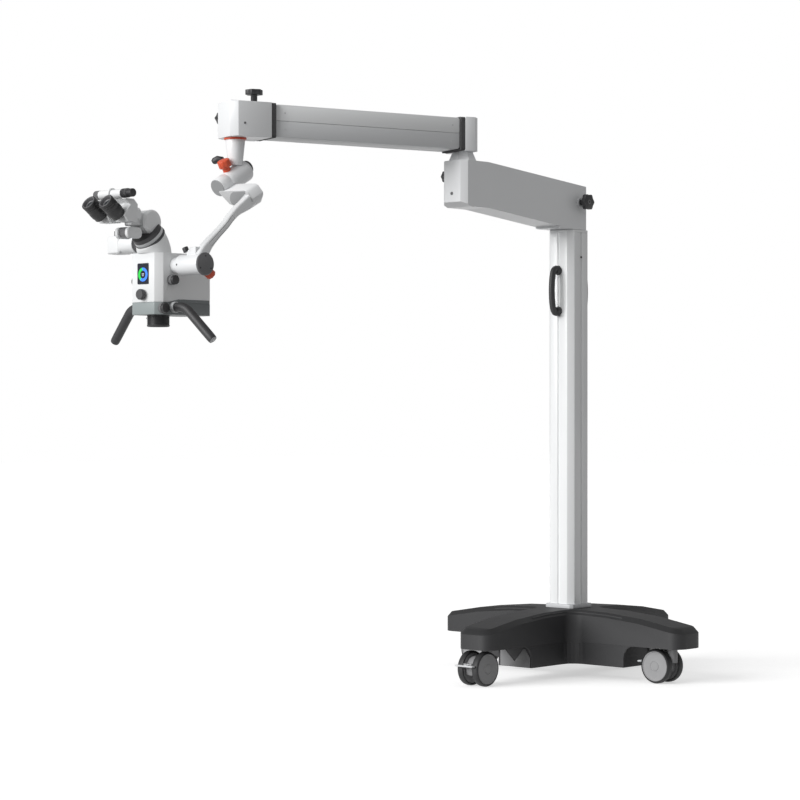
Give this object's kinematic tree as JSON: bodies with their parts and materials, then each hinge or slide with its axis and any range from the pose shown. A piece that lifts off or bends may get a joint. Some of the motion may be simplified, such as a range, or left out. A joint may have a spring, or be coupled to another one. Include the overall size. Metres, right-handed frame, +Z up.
{
  "type": "surgical microscope on floor stand",
  "caption": "Surgical microscope with inclinable binocular head on a balanced spring arm, swing arm, square column and ballasted castor base",
  "frame": {"origin": "centre of the whole object's box at floor level", "axes": "+Z up; the swing arm and the head point to -Y; +X to the right of someone facing +Y"},
  "size_m": [0.896, 2.1058, 1.6642],
  "materials": {
    "white_paint": "satin",
    "column_paint": "satin",
    "white_plastic": "satin",
    "base_plastic": "satin",
    "iron": "rough",
    "plate_paint": "satin",
    "steel": "brushed",
    "gasket_rubber": "matt",
    "castor_grey": "satin",
    "wheel_rubber": "matt",
    "pedal_paint": "satin",
    "orange_plastic": "satin",
    "black_plastic": "satin",
    "grip_plastic": "matt",
    "grey_plastic": "satin",
    "band_plastic": "satin",
    "strut_paint": "gloss",
    "lens_glass": "polished"
  },
  "bodies": {
    "stand": {"base_shell": "base_plastic", "base_skirt": "base_plastic", "ballast": "iron", "foot_plate": "plate_paint", "power_inlet": "black_plastic", "column": "column_paint", "column_handle_front": "grip_plastic", "column_handle_rear": "grip_plastic", "column_spindle": "steel"},
    "swing": {"swing_arm": "white_paint"},
    "swing_lock": {"swing_lock_knob": "black_plastic"},
    "hub_lock": {"hub_lock_knob": "black_plastic"},
    "hub": {"rear_block": "white_paint", "rear_gasket": "gasket_rubber"},
    "lift": {"arm_beam": "steel", "upper_cover": "white_plastic", "lower_cover": "white_plastic", "gas_spring": "strut_paint"},
    "link": {"level_link": "steel"},
    "front": {"front_block": "white_paint", "front_gasket": "gasket_rubber"},
    "lift_lock": {"lift_knob": "black_plastic"},
    "front_lock": {"front_lock_knob": "black_plastic"},
    "yaw": {"collar_ring": "orange_plastic", "spindle_cone": "white_paint", "swivel_housing": "white_paint"},
    "roll_friction": {"roll_knob": "orange_plastic"},
    "roll_lock": {"roll_lever": "black_plastic"},
    "roll": {"yoke_arm": "white_paint", "tilt_housing": "white_paint", "tilt_cap": "grey_plastic"},
    "tilt_friction": {"tilt_knob": "orange_plastic"},
    "head": {"optics_body": "white_plastic", "base_band": "band_plastic", "elbow": "white_plastic", "camera_arm": "white_plastic"},
    "focus": {"focus_knob": "black_plastic"},
    "magnification": {"magnification_knob": "black_plastic"},
    "band": {"band_knob": "black_plastic"},
    "objective": {"objective_barrel": "black_plastic", "objective_lens": "lens_glass"},
    "grip_l": {"grip_left": "grip_plastic"},
    "grip_r": {"grip_right": "grip_plastic"},
    "binocular_turn": {"binocular_base": "white_plastic"},
    "binocular_tilt": {"binocular_tube": "white_plastic"},
    "prism_l": {"prism_left": "white_plastic"},
    "prism_r": {"prism_right": "white_plastic"},
    "eye_l": {"eyepiece_left": "black_plastic"},
    "eye_r": {"eyepiece_right": "black_plastic"},
    "spacing": {"spacing_bar": "black_plastic"},
    "castor_front": {"castor_fork_front": "castor_grey"},
    "wheels_front": {"castor_wheels_front": "wheel_rubber"},
    "brake_front": {"brake_pedal_front": "pedal_paint"},
    "castor_right": {"castor_fork_right": "castor_grey"},
    "wheels_right": {"castor_wheels_right": "wheel_rubber"},
    "brake_right": {"brake_pedal_right": "pedal_paint"},
    "castor_back": {"castor_fork_back": "castor_grey"},
    "wheels_back": {"castor_wheels_back": "wheel_rubber"},
    "castor_left": {"castor_fork_left": "castor_grey"},
    "wheels_left": {"castor_wheels_left": "wheel_rubber"}
  },
  "joints": [
    {"name": "castor_front_swivel", "type": "hinge", "parent": "stand", "child": "castor_front", "pos_m": [0, 0.22289, 0.105], "axis": [0, 0, 1], "continuous": true},
    {"name": "castor_front_roll", "type": "hinge", "parent": "castor_front", "child": "wheels_front", "pos_m": [0, 0.18589, 0.05], "axis": [1, 0, 0], "continuous": true},
    {"name": "brake_front_press", "type": "hinge", "parent": "castor_front", "child": "brake_front", "pos_m": [0, 0.14439, 0.061], "axis": [1, 0, 0], "range_deg": [-12, 12]},
    {"name": "castor_right_swivel", "type": "hinge", "parent": "stand", "child": "castor_right", "pos_m": [0.382, 0.60489, 0.105], "axis": [0, 0, 1], "continuous": true},
    {"name": "castor_right_roll", "type": "hinge", "parent": "castor_right", "child": "wheels_right", "pos_m": [0.345, 0.60489, 0.05], "axis": [0, -1, 0], "continuous": true},
    {"name": "brake_right_press", "type": "hinge", "parent": "castor_right", "child": "brake_right", "pos_m": [0.3035, 0.60489, 0.061], "axis": [0, -1, 0], "range_deg": [-12, 12]},
    {"name": "castor_back_swivel", "type": "hinge", "parent": "stand", "child": "castor_back", "pos_m": [0, 0.98689, 0.105], "axis": [0, 0, 1], "continuous": true},
    {"name": "castor_back_roll", "type": "hinge", "parent": "castor_back", "child": "wheels_back", "pos_m": [0, 0.94989, 0.05], "axis": [1, 0, 0], "continuous": true},
    {"name": "castor_left_swivel", "type": "hinge", "parent": "stand", "child": "castor_left", "pos_m": [-0.382, 0.60489, 0.105], "axis": [0, 0, 1], "continuous": true},
    {"name": "castor_left_roll", "type": "hinge", "parent": "castor_left", "child": "wheels_left", "pos_m": [-0.345, 0.60489, 0.05], "axis": [0, 1, 0], "continuous": true},
    {"name": "swing_yaw", "type": "hinge", "parent": "stand", "child": "swing", "pos_m": [0, 0.60489, 1.3295], "axis": [0, 0, 1], "range_deg": [-150, 150]},
    {"name": "swing_lock_turn", "type": "hinge", "parent": "swing", "child": "swing_lock", "pos_m": [0.0453, 0.60489, 1.4105], "axis": [1, 0, 0], "range_deg": [-45, 45]},
    {"name": "hub_lock_turn", "type": "hinge", "parent": "swing", "child": "hub_lock", "pos_m": [-0.0453, 0.11689, 1.46], "axis": [-1, 0, 0], "range_deg": [-45, 45]},
    {"name": "hub_yaw", "type": "hinge", "parent": "swing", "child": "hub", "pos_m": [0, 0.11689, 1.57325], "axis": [0, 0, 1], "range_deg": [-80, 120]},
    {"name": "arm_lift", "type": "hinge", "parent": "hub", "child": "lift", "pos_m": [-0.00484, 0.10322, 1.57325], "axis": [-0.9426, 0.3338, 0], "range_deg": [-14, 20], "deforming": ["rear_gasket", "front_gasket"]},
    {"name": "link_lift", "type": "hinge", "parent": "hub", "child": "link", "pos_m": [-0.00484, 0.10322, 1.54725], "axis": [-0.9426, 0.3338, 0], "range_deg": [-14, 20]},
    {"name": "front_level", "type": "hinge", "parent": "lift", "child": "front", "pos_m": [-0.21163, -0.48075, 1.57812], "axis": [-0.9426, 0.3338, 0], "range_deg": [-20, 14]},
    {"name": "lift_lock_turn", "type": "hinge", "parent": "front", "child": "lift_lock", "pos_m": [-0.21798, -0.49866, 1.62617], "axis": [0, 0, 1], "range_deg": [-45, 45]},
    {"name": "front_lock_turn", "type": "hinge", "parent": "front", "child": "front_lock", "pos_m": [-0.29335, -0.53986, 1.59087], "axis": [-0.9426, 0.3338, 0], "range_deg": [-45, 45]},
    {"name": "head_yaw", "type": "hinge", "parent": "front", "child": "yaw", "pos_m": [-0.23667, -0.55145, 1.425], "axis": [0, 0, 1], "range_deg": [-150, 150]},
    {"name": "roll_friction_turn", "type": "hinge", "parent": "yaw", "child": "roll_friction", "pos_m": [-0.23667, -0.58142, 1.43771], "axis": [0, -0.4695, 0.8829], "range_deg": [-90, 90]},
    {"name": "roll_lock_turn", "type": "hinge", "parent": "yaw", "child": "roll_lock", "pos_m": [-0.26148, -0.55731, 1.4275], "axis": [-0.9806, -0.0921, 0.1732], "range_deg": [-45, 45]},
    {"name": "head_roll", "type": "hinge", "parent": "yaw", "child": "roll", "pos_m": [-0.23667, -0.55145, 1.425], "axis": [0, -0.8829, -0.4695], "range_deg": [-45, 45]},
    {"name": "tilt_friction_turn", "type": "hinge", "parent": "roll", "child": "tilt_friction", "pos_m": [-0.08367, -0.80127, 1.15564], "axis": [0, 0.8336, -0.5524], "range_deg": [-90, 90]},
    {"name": "head_tilt", "type": "hinge", "parent": "roll", "child": "head", "pos_m": [-0.23667, -0.82445, 1.171], "axis": [1, 0, 0], "range_deg": [-20, 60]},
    {"name": "focus_turn", "type": "hinge", "parent": "head", "child": "focus", "pos_m": [-0.23667, -0.88375, 1.0955], "axis": [0, -1, 0], "range_deg": [-150, 150]},
    {"name": "magnification_turn", "type": "hinge", "parent": "head", "child": "magnification", "pos_m": [-0.23667, -0.84145, 1.133], "axis": [1, 0, 0], "range_deg": [-120, 120]},
    {"name": "band_knob_turn", "type": "hinge", "parent": "head", "child": "band", "pos_m": [-0.17687, -0.87245, 1.059], "axis": [1, 0, 0], "range_deg": [-150, 150]},
    {"name": "objective_focus", "type": "slide", "parent": "head", "child": "objective", "axis": [0, 0, -1], "range_m": [-0.004, 0.008]},
    {"name": "grip_left_turn", "type": "hinge", "parent": "head", "child": "grip_l", "pos_m": [-0.29647, -0.83045, 1.062], "axis": [1, 0, 0], "range_deg": [-90, 90]},
    {"name": "grip_right_turn", "type": "hinge", "parent": "head", "child": "grip_r", "pos_m": [-0.17687, -0.83045, 1.062], "axis": [1, 0, 0], "range_deg": [-90, 90]},
    {"name": "binocular_rotation", "type": "hinge", "parent": "head", "child": "binocular_turn", "pos_m": [-0.23667, -0.86145, 1.2455], "axis": [0, -0.7071, 0.7071], "range_deg": [-90, 90]},
    {"name": "binocular_inclination", "type": "hinge", "parent": "binocular_turn", "child": "binocular_tilt", "pos_m": [-0.23667, -0.87545, 1.284], "axis": [1, 0, 0], "range_deg": [-30, 40]},
    {"name": "eye_spacing", "type": "slide", "parent": "binocular_tilt", "child": "prism_r", "axis": [1, 0, 0], "range_m": [-0.004, 0.0045]},
    {"name": "eye_spacing_left", "type": "slide", "parent": "binocular_tilt", "child": "prism_l", "axis": [1, 0, 0], "range_m": [-0.0045, 0.004]},
    {"name": "dioptre_left", "type": "hinge", "parent": "prism_l", "child": "eye_l", "pos_m": [-0.26967, -0.99672, 1.2943], "axis": [0, -0.7986, 0.6018], "range_deg": [-120, 120]},
    {"name": "dioptre_right", "type": "hinge", "parent": "prism_r", "child": "eye_r", "pos_m": [-0.20367, -0.99672, 1.2943], "axis": [0, -0.7986, 0.6018], "range_deg": [-120, 120]},
    {"name": "spacing_turn", "type": "hinge", "parent": "binocular_tilt", "child": "spacing", "pos_m": [-0.23667, -0.99045, 1.35], "axis": [1, 0, 0], "range_deg": [-150, 150]}
  ],
  "couplings": [
    {"joint": "link_lift", "follows": "arm_lift", "ratio": 1},
    {"joint": "front_level", "follows": "arm_lift", "ratio": -1},
    {"joint": "eye_spacing_left", "follows": "eye_spacing", "ratio": -1}
  ]
}
